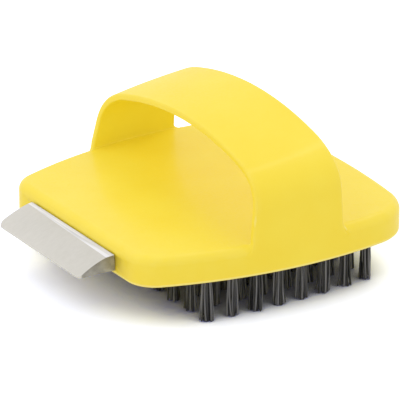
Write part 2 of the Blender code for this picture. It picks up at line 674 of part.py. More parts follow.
def make_bristle_slice(column, side, word, backing_material, bristle_material):
    """One column's tufts on one side, grown out of the slice of the bed that holds them."""
    x = FIRST_COLUMN_X + column * COLUMN_PITCH
    reach = (COLUMN_PITCH - CLEARANCE) / 2.0
    outline = bed_outline(side, x - reach, x + reach, CLEARANCE, 2)
    bm = bmesh.new()
    low = [bm.verts.new((px, py, UNDERSIDE_Z)) for px, py in outline]
    high = [bm.verts.new((px, py, BED_ROOF_Z - CLEARANCE)) for px, py in outline]
    close_strip(bm, low, high, closed=True)
    bm.faces.new(high)

    def strand_loop(centre, ring, facing, z):
        """Corners of a strand at one height, mirrored between the two sides."""
        loop = []
        for i in range(STRAND_SIDES):
            angle = facing + math.tau * i / STRAND_SIDES
            away = ring * math.cos(facing) + STRAND_RADIUS * math.cos(angle)
            aside = ring * math.sin(facing) + STRAND_RADIUS * math.sin(angle)
            loop.append(bm.verts.new((centre[0] + away, centre[1] + side * aside, z)))
        return loop

    rim = [edge for edge in bm.edges if edge.is_boundary]
    strands = []
    for row in range(TUFT_ROWS_PER_SIDE):
        centre = tuft_centre(column, row, side)
        turn = TUFT_TURN * (column * TUFT_ROWS_PER_SIDE + row)
        for root, tip, facing in strand_places(turn):
            root_loop = strand_loop(centre, root, facing, UNDERSIDE_Z)
            rim += [bm.edges.new((root_loop[i - 1], root_loop[i])) for i in range(STRAND_SIDES)]
            strands.append((root_loop, strand_loop(centre, tip, facing, 0.0)))
    bmesh.ops.triangle_fill(bm, use_beauty=True, edges=rim, normal=(0.0, 0.0, -1.0))

    backing_faces = set(bm.faces)
    for root_loop, tip_loop in strands:
        close_strip(bm, root_loop, tip_loop, closed=True)
        bm.faces.new(tip_loop)
    for face in set(bm.faces) - backing_faces:
        face.material_index = 1
    name = f"bristle_slice_{column + 1}_{word}"
    return add_object(name, finish_mesh(bm, name), [backing_material, bristle_material])


def main():
    for thing in list(bpy.context.scene.objects):
        bpy.data.objects.remove(thing, do_unlink=True)

    yellow = finish("yellow_moulding", (0.90, 0.68, 0.07), 0.38)
    bed_yellow = finish("yellow_bed", (0.86, 0.63, 0.06), 0.45)
    grey_bristle = finish("grey_bristle", (0.045, 0.045, 0.043), 0.5)
    scraper_metal = finish("scraper_metal", (0.66, 0.64, 0.61), 0.32, metallic=0.9)
    screw_metal = finish("screw_metal", (0.55, 0.55, 0.56), 0.3, metallic=1.0)

    pieces = [make_body(yellow), make_scraper(scraper_metal)]
    for side, word in SIDES:
        pieces.append(make_screw(side, word, screw_metal))
        for column in range(TUFT_COLUMNS):
            pieces.append(make_bristle_slice(column, side, word, bed_yellow, grey_bristle))

    brush = bpy.data.objects.new("oven_brush", None)
    bpy.context.scene.collection.objects.link(brush)
    for piece in pieces:
        piece.parent = brush


main()
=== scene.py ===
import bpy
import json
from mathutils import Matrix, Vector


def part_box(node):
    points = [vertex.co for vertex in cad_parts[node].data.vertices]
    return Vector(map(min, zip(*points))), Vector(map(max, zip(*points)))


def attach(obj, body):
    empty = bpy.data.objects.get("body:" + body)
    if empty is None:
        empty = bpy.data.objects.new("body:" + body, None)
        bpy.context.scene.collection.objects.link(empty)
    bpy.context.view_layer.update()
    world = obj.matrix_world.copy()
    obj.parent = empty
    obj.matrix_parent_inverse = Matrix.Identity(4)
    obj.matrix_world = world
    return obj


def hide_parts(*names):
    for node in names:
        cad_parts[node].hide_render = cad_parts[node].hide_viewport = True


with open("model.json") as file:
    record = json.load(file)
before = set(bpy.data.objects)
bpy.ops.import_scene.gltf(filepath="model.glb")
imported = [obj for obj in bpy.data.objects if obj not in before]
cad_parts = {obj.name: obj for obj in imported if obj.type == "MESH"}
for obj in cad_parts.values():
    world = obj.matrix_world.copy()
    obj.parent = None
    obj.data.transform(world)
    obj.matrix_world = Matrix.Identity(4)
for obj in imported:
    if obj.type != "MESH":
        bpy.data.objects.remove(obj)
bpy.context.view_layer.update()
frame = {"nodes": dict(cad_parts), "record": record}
print("frame loaded:", len(frame["nodes"]), "pieces")

import json
import math

import bmesh
import bpy
import numpy as np
from mathutils import Vector

# Shapes are worked out in millimetres, with +Z up and the scraper at -X, and turned to metres
# when a mesh is made. The overall places come from the frame, the rest from the dictionaries.
mm = 0.001
sides = {"left": -1.0, "right": 1.0}  # with the sign of their Y
meshing = {
    "mergeWithin": 0.001,           # points closer than this become one
    "sharpAngle": 35.0,             # degrees: flatter edges are shaded smooth
    "cutPast": 1.0,                 # a cutting tool reaches this far past the piece
}


def nodeBox(node):
    return np.array(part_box(node)) / mm


def screwBox(side):
    low, high = nodeBox(f"scraper_screw_{side}")
    return low, high, (low + high) / 2.0


def mix(start, end, share):
    return start + (end - start) * share


def hump(share):
    # a parabola: 0 at both ends and 1 in the middle
    return 4.0 * share * (1.0 - share)


def roundTurn(steps, start=0.0):
    return start + math.tau * np.arange(steps) / steps


def circle(centre, radius, angle):
    # round an upright line: the centre plus the radius times cosine and sine
    return centre[0] + radius * np.cos(angle), centre[1] + radius * np.sin(angle)


def quarterRound(radius, steps):
    # a quarter circle as (way left along one arm, way gone along the other): radius times
    # one minus the sine, and one minus the cosine, of equal steps of angle
    angle = np.linspace(0.0, math.pi / 2.0, steps + 1)
    return np.stack([radius * (1.0 - np.sin(angle)), radius * (1.0 - np.cos(angle))], 1)


def arc(centre, radius, start, end, steps):
    # equal steps of angle round a circle: rows of (x, y, outward x, outward y)
    angle = np.linspace(start, end, steps + 1)
    out = np.stack([np.cos(angle), np.sin(angle)], 1)
    return np.hstack([np.array(centre) + radius * out, out])


def place(name, data):
    thing = bpy.data.objects.new(name, data)
    bpy.context.scene.collection.objects.link(thing)
    return thing


# Camera: it stays where the photograph was taken from
cameraPlace = {
    "aim": (-0.0005, -0.0072, 0.0298),  # metres
    "azimuth": -32.43,                  # degrees, 0 looks along +Y
    "elevation": 22.60,
    "distance": 1.6415,
    "lens": 360.0,
    "sensor": 36.0,
    "clip": (0.05, 50.0),
}


def makeCamera():
    azimuth = math.radians(cameraPlace["azimuth"])
    elevation = math.radians(cameraPlace["elevation"])
    back = Vector((math.sin(azimuth) * math.cos(elevation),
                   -math.cos(azimuth) * math.cos(elevation), math.sin(elevation)))
    lens = bpy.data.cameras.new("camera")
    lens.lens = cameraPlace["lens"]
    lens.sensor_width = cameraPlace["sensor"]
    lens.clip_start, lens.clip_end = cameraPlace["clip"]
    camera = place("camera", lens)
    camera.location = Vector(cameraPlace["aim"]) + back * cameraPlace["distance"]
    camera.rotation_euler = (-back).to_track_quat("-Z", "Y").to_euler()
    bpy.context.scene.camera = camera


class Skin:
    # rows of points and the faces between them; every call takes or gives whole arrays
    def __init__(self):
        self.points = []
        self.faces = []
        self.materials = []
        self.count = 0
        self.material = 0

    def put(self, x, y, z):
        x, y, z = np.broadcast_arrays(x, y, z)
        self.points.append(np.stack([x, y, z], -1).reshape(-1, 3))
        index = np.arange(self.count, self.count + x.size).reshape(x.shape)
        self.count += x.size
        return index

    def add(self, faces):
        self.faces += faces
        self.materials += [self.material] * len(faces)

    def sheet(self, grid, closed=False):
        # quads between neighbouring rows of a grid of point numbers
        if closed:
            grid = np.concatenate([grid, grid[..., :1]], -1)
        quads = [grid[..., :-1, :-1], grid[..., :-1, 1:], grid[..., 1:, 1:], grid[..., 1:, :-1]]
        self.add(np.stack(quads, -1).reshape(-1, 4).tolist())

    def fill(self, *loops):
        self.add([np.concatenate(loops).tolist()])

    def caps(self, grid):
        self.add([grid[0].tolist(), grid[-1].tolist()])

    def build(self, name, sharp=meshing["sharpAngle"], attributes=()):
        mesh = bpy.data.meshes.new(name)
        mesh.from_pydata((np.concatenate(self.points) * mm).tolist(), [], self.faces)
        mesh.polygons.foreach_set("material_index", np.array(self.materials, np.int32))
        for word, values in attributes:
            layer = mesh.attributes.new(word, "FLOAT", "POINT")
            layer.data.foreach_set("value", np.asarray(values, np.float32))
        bm = bmesh.new()
        bm.from_mesh(mesh)
        bmesh.ops.remove_doubles(bm, verts=bm.verts, dist=meshing["mergeWithin"] * mm)
        bmesh.ops.recalc_face_normals(bm, faces=bm.faces)
        bm.to_mesh(mesh)
        bm.free()
        mesh.shade_smooth()
        mesh.set_sharp_from_angle(angle=math.radians(sharp))
        return place(name, mesh)


def freeze(thing):
    # the modifiers' result becomes the mesh
    bpy.context.view_layer.update()
    shown = thing.evaluated_get(bpy.context.evaluated_depsgraph_get())
    mesh = bpy.data.meshes.new_from_object(shown)
    thing.modifiers.clear()
    thing.data = mesh


def carve(thing, tools, operation="DIFFERENCE"):
    for tool in tools:
        cut = thing.modifiers.new(tool.name, "BOOLEAN")
        cut.operation = operation
        cut.solver = "EXACT"
        cut.object = tool
    freeze(thing)
    for tool in tools:
        bpy.data.objects.remove(tool, do_unlink=True)


def evenShading(thing):
    # large flat faces keep their own normal, so a rounding runs into them without a crease
    weight = thing.modifiers.new("even", "WEIGHTED_NORMAL")
    weight.mode = "FACE_AREA"
    weight.keep_sharp = True
    freeze(thing)


def tube(name, x, y, z):
    # a closed ring carried from height to height, with a flat face at both ends
    skin = Skin()
    grid = skin.put(x, y, np.array(z)[:, None])
    skin.sheet(grid, closed=True)
    skin.caps(grid)
    return skin.build(name)


def boxTube(name, low, high):
    # a level rectangle carried straight up
    x = np.array([low[0], high[0], high[0], low[0]])
    y = np.array([low[1], low[1], high[1], high[1]])
    return tube(name, x, y, (low[2], high[2]))


def turnedTube(name, centre, radius, z, steps):
    # a profile of (radius, height) carried round an upright line
    return tube(name, *circle(centre, np.array(radius)[:, None], roundTurn(steps)), z)


# Moulded body: a flat block, and a strap handle that rises from both of its long sides
block = {
    "sideRadius": 192.0,            # bulge of the long sides
    "widestBehindMiddle": 12.0,
    "rearEndRadius": 333.0,
    "frontCornerRadius": 13.0,
    "rearCornerRadius": 23.2,
    "topEdge": (3.9, 4.1),          # radius at the front and the rear end
    "bottomEdge": 0.6,
    "roundingShare": 0.85,          # most of the foot's depth that the roundings may take
    "cornerSteps": 28,
    "sideSteps": 24,
    "rearEndSteps": 24,
    "edgeSteps": 10,
}
strap = {
    "frontBeforeMiddle": 19.8,      # of the block's length
    "rearBehindMiddle": 22.7,
    "thickness": 2.9,
    "edge": (0.9, 1.3),             # radius at the front and the rear edge
    "footFillet": 2.8,
    "frontEdgeLean": 0.182,
    "crown": (35.0, 40.3),          # front and rear height above the block's top
    "shoulderDrop": (10.7, 12.7),
    "legLean": (0.136, 0.09),
    "legBend": 11.8,
    "crownBend": (14.4, 17.6),
    "widthSteps": 20,
    "edgeRoundSteps": 7,
    "filletSteps": 14,
    "drawPower": 1.5,               # draws the fillet's depth to its upper end
    "tightness": (0.5, 0.15),       # under 1, the foot's fillet hugs its corner: edges, inside
    "legSteps": 8,
    "bendSteps": 26,
    "crownSteps": 30,
}
bed = {
    "roofUnderTop": 4.7,
    "wall": 2.4,
    "ribWidth": 4.0,
    "clearance": 0.3,
    "curveSteps": 48,
}

bedFront = nodeBox("bristle_slice_1_left")[0][0] - bed["clearance"]
bedRear = nodeBox("bristle_slice_8_left")[1][0] + bed["clearance"]
bodyLow, bodyHigh = nodeBox("body")
frontX, rearX = bodyLow[0], bodyHigh[0]
middleX = (frontX + rearX) / 2.0
undersideZ = bodyLow[2]
topZ = [mount["pos_m"][2] for mount in frame["record"]["mounts"]
        if mount["name"] == "rear_top"][0] / mm

sideCentre = np.array([middleX + block["widestBehindMiddle"], bodyHigh[1] - block["sideRadius"]])
rearEndCentre = np.array([rearX - block["rearEndRadius"], 0.0])


def frontCornerCentre():
    # where an arc touches both the flat front end and the side arc
    x = frontX + block["frontCornerRadius"]
    reach = block["sideRadius"] - block["frontCornerRadius"]
    return np.array([x, sideCentre[1] + math.sqrt(reach ** 2 - (x - sideCentre[0]) ** 2)])


def rearCornerCentre():
    # where an arc touches both the rear end arc and the side arc: the crossing of two circles
    first = block["rearEndRadius"] - block["rearCornerRadius"]
    second = block["sideRadius"] - block["rearCornerRadius"]
    across = sideCentre - rearEndCentre
    apart = math.hypot(*across)
    along = (apart ** 2 + first ** 2 - second ** 2) / (2.0 * apart)
    aside = math.sqrt(first ** 2 - along ** 2)
    unit = across / apart
    return rearEndCentre + unit * along + np.array([-unit[1], unit[0]]) * aside


def heading(start, end):
    return math.atan2(*(end - start)[::-1])


frontCorner = frontCornerCentre()
rearCorner = rearCornerCentre()
frontTangent = heading(sideCentre, frontCorner)
rearTangent = heading(sideCentre, rearCorner)
rearEndTangent = heading(rearEndCentre, rearCorner)


def halfWidthAt(x, inset=0.0):
    # distance from the middle plane to the side, or to a line inset from it: the height of the
    # front corner's circle, the side's circle or the rear corner's circle at x
    x = np.asarray(x, float)
    front, rear = block["frontCornerRadius"], block["rearCornerRadius"]
    zones = [x < frontCorner[0] + (front - inset) * math.cos(frontTangent),
             x > rearCorner[0] + (rear - inset) * math.cos(rearTangent)]
    centreX = np.select(zones, [frontCorner[0], rearCorner[0]], sideCentre[0])
    centreY = np.select(zones, [frontCorner[1], rearCorner[1]], sideCentre[1])
    radius = np.select(zones, [front, rear], block["sideRadius"])
    return centreY + np.sqrt((radius - inset) ** 2 - (x - centreX) ** 2)


def sideRows(x):
    # points of the side arc at the given x: rows of (x, y, outward x, outward y)
    points = np.stack([x, halfWidthAt(x)], 1)
    return np.hstack([points, (points - sideCentre) / block["sideRadius"]])


strapFront = middleX - strap["frontBeforeMiddle"]
strapRear = middleX + strap["rearBehindMiddle"]
strapWidth = strapRear - strapFront


def acrossStrap():
    # places across the strap's outer face, as (share of the width, depth below the face):
    # a quarter round, a flat run and a quarter round back
    front, rear = [quarterRound(radius, strap["edgeRoundSteps"])[:, ::-1] / [strapWidth, 1.0]
                   for radius in strap["edge"]]
    rear = rear[::-1] * [-1.0, 1.0] + [1.0, 0.0]
    flat = np.linspace(front[-1, 0], rear[0, 0], strap["widthSteps"] + 1)[1:-1]
    between = np.stack([flat, np.zeros_like(flat)], 1)
    return np.concatenate([front, between, rear])


outerFace = acrossStrap()


def footX(share):
    # a foot is wider than the strap by its fillet at both edges
    return strapFront - strap["footFillet"] + share * (strapWidth + 2.0 * strap["footFillet"])


def topEdgeAt(x):
    # radius of the rounded top edge: it grows with the square of the way to the rear
    return mix(*block["topEdge"], ((x - frontX) / (rearX - frontX)) ** 2)


# the foot reaches in past the rounded edge that it stands on
footDepth = max(strap["thickness"] + strap["footFillet"],
                topEdgeAt(footX(1.0)) / block["roundingShare"])


def blockOutline():
    # right half of the outline from front to rear: corner, side, corner and end arc, which stops
    # half a step short of the middle plane
    corner = arc(frontCorner, block["frontCornerRadius"], math.pi, frontTangent, block["cornerSteps"])
    rear = arc(rearCorner, block["rearCornerRadius"], rearTangent, rearEndTangent,
               block["cornerSteps"])
    end = arc(rearEndCentre, block["rearEndRadius"], rearEndTangent,
              rearEndTangent * 0.5 / block["rearEndSteps"], block["rearEndSteps"])[1:]
    foot = sideRows(footX(outerFace[:, 0]))
    before = sideRows(np.linspace(corner[-1, 0], foot[0, 0], block["sideSteps"] + 1)[1:-1])
    behind = sideRows(np.linspace(foot[-1, 0], rear[0, 0], block["sideSteps"] + 1)[1:-1])
    start = len(corner) + len(before)
    return np.concatenate([corner, before, foot, behind, rear, end]), start, start + len(foot)


def strapLine(share):
    # the strap's outer line at each share of its width, left foot to right foot: a leaning
    # straight leg, a parabola (quadratic Bezier) at the shoulder, and a circle arc over the
    # crown, then the same mirrored. Rows run along the line, columns across the strap.
    crown = mix(*strap["crown"], share)
    drop = mix(*strap["shoulderDrop"], share)
    lean = mix(*strap["legLean"], share)
    foot = halfWidthAt(mix(strapFront, strapRear, share))
    shoulder = crown - drop
    knee = foot - lean * shoulder
    radius = (knee ** 2 + drop ** 2) / (2.0 * drop)
    arcEnd = np.arcsin(knee / radius) - mix(*strap["crownBend"], share) / radius
    bendEnd = radius * np.sin(arcEnd), crown - radius * (1.0 - np.cos(arcEnd))
    legBend = strap["legBend"] / np.hypot(lean, 1.0)
    bendStart = knee + lean * legBend, shoulder - legBend

    leg, t, arch = [np.linspace(0.0, 1.0, strap[steps], endpoint=False)[:, None]
                    for steps in ("legSteps", "bendSteps", "crownSteps")]
    legZ = mix(strap["footFillet"], bendStart[1], leg)
    legY = foot - lean * legZ
    bendY, bendZ = [(1.0 - t) ** 2 * start + 2.0 * t * (1.0 - t) * corner + t ** 2 * end
                    for start, corner, end in zip(bendStart, (knee, shoulder), bendEnd)]
    angle = arcEnd * (1.0 - arch)
    arcY = radius * np.sin(angle)
    arcZ = crown - radius * (1.0 - np.cos(angle))

    halfY = np.concatenate([legY, bendY, arcY])
    halfZ = np.concatenate([legZ, bendZ, arcZ])
    y = np.concatenate([-halfY, np.zeros((1, len(share))), halfY[::-1]])
    z = np.concatenate([halfZ, crown[None, :], halfZ[::-1]])
    x = mix(strapFront + strap["frontEdgeLean"] * z, strapRear, share)
    runY, runZ = np.gradient(y, axis=0), np.gradient(z, axis=0)
    length = np.hypot(runY, runZ)
    return x, y, topZ + z, -runZ / length, runY / length


def strapSection():
    # closed section of the strap as (share, depth): outer face, rear edge, inner face, front edge
    front, rear = [np.linspace(radius, strap["thickness"] - radius, block["edgeSteps"] + 2)[1:-1]
                   for radius in strap["edge"]]
    inner = outerFace[::-1] * [1.0, -1.0] + [0.0, strap["thickness"]]
    return np.concatenate([outerFace, np.stack([np.ones_like(rear), rear], 1), inner,
                           np.stack([np.zeros_like(front), front[::-1]], 1)])


def footInnerLine():
    # where the strap's inner face meets the block's top, rear edge to front edge: the side arc
    # moved in by the foot's depth, with a quarter round at both ends
    front, rear = footX(0.0), footX(1.0)
    radius = min(strap["edge"][0] + strap["footFillet"],
                 block["roundingShare"] * (footDepth - topEdgeAt(rear)))
    corner = quarterRound(radius, strap["edgeRoundSteps"])
    between = np.linspace(rear - radius, front + radius, strap["widthSteps"] + 1)[1:-1]
    x = np.concatenate([rear - corner[:, 1], between, front + corner[::-1, 1]])
    lift = np.concatenate([corner[:, 0], np.zeros_like(between), corner[::-1, 0]])
    rows = sideRows(x)
    return (rows[:, :2] - rows[:, 2:] * (footDepth - lift)[:, None]).T


def legFace(x, z):
    # distance from the middle plane to a leg's outer face near its foot: the block's side, less
    # the leg's lean times a power of the way from the rounded edge's start to the fillet's end
    share = np.clip((x - strapFront) / strapWidth, 0.0, 1.0)
    edge, fillet = topEdgeAt(x), strap["footFillet"]
    gone = np.clip((z - topZ + edge) / (edge + fillet), 0.0, None)
    return halfWidthAt(x) - mix(*strap["legLean"], share) * fillet * gone ** (1.0 + edge / fillet)


def footRings(low, high, side, power):
    # rings from the foot's line on the block to the strap's first section. With t from 0 to 1,
    # x runs as a power of the sine of a quarter turn of t, z as one minus the same power of its
    # cosine, and the depth behind the leg's outer face as x does, with t drawn to its end.
    t = np.linspace(0.0, 1.0, strap["filletSteps"] + 1)[1:-1, None]
    quarter = math.pi / 2.0
    x = mix(low[:, 0], high[:, 0], np.sin(quarter * t) ** power)
    z = mix(low[:, 2], high[:, 2], 1.0 - np.cos(quarter * t) ** power)
    depths = [legFace(end[:, 0], end[:, 2]) - side * end[:, 1] for end in (low, high)]
    depth = mix(*depths, np.sin(quarter * t ** strap["drawPower"]) ** power)
    return x, side * (legFace(x, z) - depth), z


def bodySkin():
    # wall: a rounded profile carried along the outline. Strap: its section carried along the
    # strap line. Each foot leaves the block along its surface and runs into the leg.
    outline, footStart, footEnd = blockOutline()
    skin = Skin()

    def ring(inset, z, part):
        x = part[:, 0] - part[:, 2] * inset
        y = part[:, 1] - part[:, 3] * inset
        return skin.put(x, -y, z), skin.put(x, y, z)

    def roundFront(pair):
        return np.concatenate([pair[0][::-1], pair[1]])

    def roundRear(pair):
        return np.concatenate([pair[0], pair[1][::-1]])

    levels = [ring(inset, undersideZ + rise, outline)
              for inset, rise in quarterRound(block["bottomEdge"], block["edgeSteps"])]
    levels.append(ring(0.0, topZ - topEdgeAt(outline[:, 0]), outline))
    skin.sheet(np.stack([roundFront(level) for level in levels]), closed=True)

    rim = levels[-1]
    rows = []
    for part, path in ((slice(0, footStart + 1), roundFront),
                       (slice(footEnd - 1, len(outline)), roundRear)):
        made = [(rim[0][part], rim[1][part])]
        radius = topEdgeAt(outline[part, 0])
        made += [ring(inset * radius, topZ - fall * radius, outline[part])
                 for fall, inset in quarterRound(1.0, block["edgeSteps"])[1:]]
        skin.sheet(np.stack([path(row) for row in made]))
        rows.append(made)
    frontRows, rearRows = rows

    share, depth = strapSection().T
    x, y, z, outY, outZ = strapLine(share)
    strapGrid = skin.put(x, y - depth * outY, z - depth * outZ)
    skin.sheet(strapGrid, closed=True)

    lineX, lineY = footInnerLine()
    edge, inside = strap["tightness"]
    corner = strap["edgeRoundSteps"] + 1
    stops = np.cumsum([0, footEnd - footStart, len(rearRows) - 1, corner,
                       len(lineX) - 2 * corner, corner, len(frontRows) - 1])
    power = np.interp(np.arange(stops[-1]), stops, [1.0, 1.0, edge, inside, inside, edge, 1.0])
    innerLines = []
    for half, side in enumerate(sides.values()):
        inner = skin.put(lineX, side * lineY, topZ)
        base = np.concatenate([rim[half][footStart:footEnd], [row[half][0] for row in rearRows[1:]],
                               inner, [row[half][-1] for row in frontRows[:0:-1]]])
        innerLines.append(inner)
        ringEnd = strapGrid[0] if side < 0.0 else strapGrid[-1]
        points = np.concatenate(skin.points)
        fillet = skin.put(*footRings(points[base], points[ringEnd], side, power))
        skin.sheet(np.concatenate([base[None], fillet, ringEnd[None]]), closed=True)

    skin.fill(roundFront(frontRows[-1]), innerLines[1][::-1], roundRear(rearRows[-1])[::-1],
              innerLines[0])
    underside(skin, outline, levels[0])
    return skin


def underside(skin, outline, ring):
    # flat faces round the two bed pockets, and the pockets' walls and roofs. The outer wall is a
    # line inset from the block's side.
    x = np.linspace(bedFront, bedRear, bed["curveSteps"] + 1)
    y = halfWidthAt(x, bed["wall"])
    rib = bed["ribWidth"] / 2.0
    front = np.argmin(np.abs(outline[:, 0] - bedFront))
    rear = np.argmin(np.abs(outline[:, 0] - bedRear))
    loops = []
    for half, side in enumerate(sides.values()):
        loopX = np.concatenate([[bedFront], x, [bedRear]])
        loopY = side * np.concatenate([[rib], y, [rib]])
        grid = skin.put(loopX, loopY, np.array([[undersideZ], [topZ - bed["roofUnderTop"]]]))
        skin.sheet(grid, closed=True)
        skin.fill(grid[1])
        skin.fill(ring[half][front:rear + 1], grid[0][-2:0:-1])
        loops.append(grid[0])
    left, right = loops
    skin.fill(ring[0][front::-1], ring[1][:front + 1], right[[1, 0]], left[[0, 1]])
    skin.fill(ring[1][rear:], ring[0][:rear - 1:-1], left[[-2, -1]], right[[-1, -2]])
    skin.fill(left[[0]], right[[0, -1]], left[[-1]])


def makeBody():
    body = bodySkin().build("body_moulding")
    gap = bed["clearance"]
    tools = [boxTube("slot", (frontX - gap, -tangHalfWidth - gap, tangZ[0] - gap),
                     (scraperHigh[0] + gap, tangHalfWidth + gap, tangZ[1] + gap))]
    for side in sides:
        low, high, centre = screwBox(side)
        sink = (high[0] - low[0]) / 2.0 + gap
        hole = screw["threadRadius"] + gap
        seat = low[2] + screw["headHeight"] + gap
        start = undersideZ - block["bottomEdge"]
        tools.append(turnedTube(f"hole_{side}", centre, (sink, sink, hole, hole),
                                (start, seat, seat, high[2] + gap), screw["sides"]))
    carve(body, tools)
    evenShading(body)
    return body


# Scraper wedge, with the tang that lies in the block
scraper = {
    "strip": (2.4, 4.2),            # flat strip along the body: far and near end
    "stripFall": 0.3,               # from the body to the strip's front edge
    "groove": 0.45,                 # wider gap to the body at the strip than below
    "lip": 0.5,
    "crown": 0.6,                   # how far the slope swells
    "cornerRadius": (3.5, 1.4),     # of the tip, at the far and the near end
    "tangShoulder": 6.5,
    "tangThickness": 3.0,
    "tangRoot": 2.0,
    "edge": 0.35,
    "edgeAngle": 25.0,              # degrees: edges over it are rounded and stay crisp
    "edgeSteps": 4,
    "slopeSteps": 24,
    "widthSteps": 40,
    "cornerSteps": 12,
}

# The wedge's faces as lit and shaded copies of one metal: painted shade on the ends, and a painted
# highlight on the strip
scraperLitAndShadedFaces = ["slope", "strip", "ends"]  # in the order of the wedge's material slots

scraperLow, scraperHigh = nodeBox("scraper")
tangHalfWidth = scraperHigh[1] - scraper["tangShoulder"]
tangZ = (scraperLow[2] + scraperHigh[2]) / 2.0 + scraper["tangThickness"] * np.array([-0.5, 0.5])


def scraperSkin():
    # a wedge section at each place across the width: base line, lip, a slope that swells as a
    # parabola, and the strip. The tip follows a quarter circle at both front corners.
    halfWidth = scraperHigh[1]
    far, near = [halfWidth - quarterRound(radius, scraper["cornerSteps"])[:, 1]
                 for radius in scraper["cornerRadius"]]
    flat = np.linspace(far[-1], -near[-1], scraper["widthSteps"] + 1)[1:-1]
    y = np.concatenate([far, flat, -near[::-1]])[:, None]
    radius = np.where(y > 0.0, *scraper["cornerRadius"])
    past = np.clip(np.abs(y) - (halfWidth - radius), 0.0, radius)
    tip = scraperLow[0] + radius - np.sqrt(radius ** 2 - past ** 2)
    backX = frontX - bed["clearance"]
    stripX = backX - mix(*scraper["strip"], (halfWidth - y) / (2.0 * halfWidth))
    x = mix(tip, stripX, np.linspace(0.0, 1.0, scraper["slopeSteps"] + 1))
    share = (x - scraperLow[0]) / (stripX - scraperLow[0])
    slope = mix(scraperLow[2] + scraper["lip"], scraperHigh[2] - scraper["stripFall"], share)
    slope = slope + scraper["crown"] * hump(share)
    back, groove, base, top = [np.full_like(y, value) for value in (
        backX, backX - scraper["groove"], scraperLow[2], scraperHigh[2])]
    skin = Skin()
    grid = skin.put(np.concatenate([back, tip, x, groove], 1), y,
                    np.concatenate([base, base, slope, top], 1))
    skin.sheet(grid[:, :-1])
    skin.sheet(grid[:, [-1, 0]])
    # The strip and the ends take the copies with the painted highlight and the painted shade
    skin.material = scraperLitAndShadedFaces.index("strip")
    skin.sheet(grid[:, -2:])
    skin.material = scraperLitAndShadedFaces.index("ends")
    skin.caps(grid)
    return skin


def makeScraper():
    wedge = scraperSkin().build("scraper_wedge", sharp=scraper["edgeAngle"])
    bevel = wedge.modifiers.new("edges", "BEVEL")
    bevel.width = scraper["edge"] * mm
    bevel.segments = scraper["edgeSteps"]
    bevel.limit_method = "ANGLE"
    bevel.angle_limit = math.radians(scraper["edgeAngle"])
    freeze(wedge)
    tang = boxTube("tang", (frontX - bed["clearance"] - scraper["tangRoot"], -tangHalfWidth, tangZ[0]),
                   (scraperHigh[0], tangHalfWidth, tangZ[1]))
    carve(wedge, [tang], "UNION")
    drills = []
    past = meshing["cutPast"]
    radius = screw["threadRadius"] + bed["clearance"]
    for side in sides:
        drills.append(turnedTube(f"drill_{side}", screwBox(side)[2], (radius, radius),
                                 (tangZ[0] - past, tangZ[1] + past), screw["sides"]))
    carve(wedge, drills)
    evenShading(wedge)
    return wedge


# Self-tapping screws, head down in a sink of the underside
screw = {
    "threadRadius": 1.5,
    "coreRadius": 1.15,
    "pitch": 1.3,
    "threadPower": 3,               # narrows the thread's crest
    "headHeight": 1.4,
    "headEdge": 0.45,
    "headEdgeSteps": 6,
    "point": 2.2,
    "bluntness": 0.04,              # of the point, as a share of the thread's radius
    "recessArm": 1.6,
    "recessSlot": 0.7,
    "recessDepth": 0.8,
    "sides": 48,
    "stepsPerTurn": 10,
}


def screwSkin(low, high, centre):
    # head: a lathe profile with a rounded rim. Thread: the radius follows a power of a wave of
    # height over pitch minus the turn, and tapers to the point.
    headRadius = (high[0] - low[0]) / 2.0
    seat = low[2] + screw["headHeight"]
    rim = quarterRound(screw["headEdge"], screw["headEdgeSteps"])[::-1]
    profileR = np.append(headRadius - rim[:, 1], headRadius)
    profileZ = np.append(low[2] + rim[:, 0], seat)
    rows = int((high[2] - seat) / screw["pitch"] * screw["stepsPerTurn"])
    z = np.linspace(seat, high[2], rows + 1)[:, None]
    angle = roundTurn(screw["sides"])
    wave = 0.5 + 0.5 * np.cos(math.tau * ((z - seat) / screw["pitch"]) - angle)
    radius = mix(screw["coreRadius"], screw["threadRadius"], wave ** screw["threadPower"])
    taper = np.clip((high[2] - z) / screw["point"], screw["bluntness"], 1.0)
    skin = Skin()
    head = skin.put(*circle(centre, profileR[:, None], angle), profileZ[:, None])
    thread = skin.put(*circle(centre, radius * taper, angle), z)
    grid = np.concatenate([head, thread])
    skin.sheet(grid, closed=True)
    skin.caps(grid)
    return skin


def makeScrew(side):
    low, high, centre = screwBox(side)
    thing = screwSkin(low, high, centre).build(f"scraper_screw_fine_{side}")
    cuts = []
    arm = np.array([screw["recessArm"], screw["recessSlot"] / 2.0])
    for word, reach in (("along", arm), ("across", arm[::-1])):
        cuts.append(boxTube(f"recess_{word}_{side}",
                            (*(centre[:2] - reach), low[2] - meshing["cutPast"]),
                            (*(centre[:2] + reach), low[2] + screw["recessDepth"])))
    carve(thing, cuts)
    return thing


# Bristle tufts, each in its own round hole of the bed
tufts = {
    "columns": 8,
    "rows": 5,
    "ribShare": 0.32,               # of a row's pitch, from the middle rib to the first row
    "bedEdge": (1.2, 5.8),          # from the outer row to the bed's edge, front and rear
    "flatterThanSide": 1.3,         # more of it half way
    "reach": 2.0,                   # from a tuft's middle, at its root
    "rootRadius": 2.05,
    "tipRadius": 2.85,
    "holeRadius": 2.3,
    "holeLip": 0.35,
    "holeLipSteps": 4,
    "holeDepth": 2.0,
    "holeSteps": 10,                # per quarter of the hole
    "rootsPastHole": 0.2,
    "filaments": 26,
    "thickness": 0.74,
    "thicknessRange": (0.86, 1.1),
    "segments": 5,
    "sides": 6,
    "openRange": (0.9, 1.12),       # of a tuft's tip radius
    "swingPower": 1.35,             # above 1, a filament leans more towards its tip
    "bow": 0.32,
    "wander": 0.36,
    "unevenTips": 1.5,
    "outerShort": 0.55,             # share of the unevenness that grows outwards
    "outerShortRange": (0.2, 1.0),
    "strayShort": 0.45,             # and the share that strays
    "seed": 11,
}
goldenTurn = math.radians(137.508)


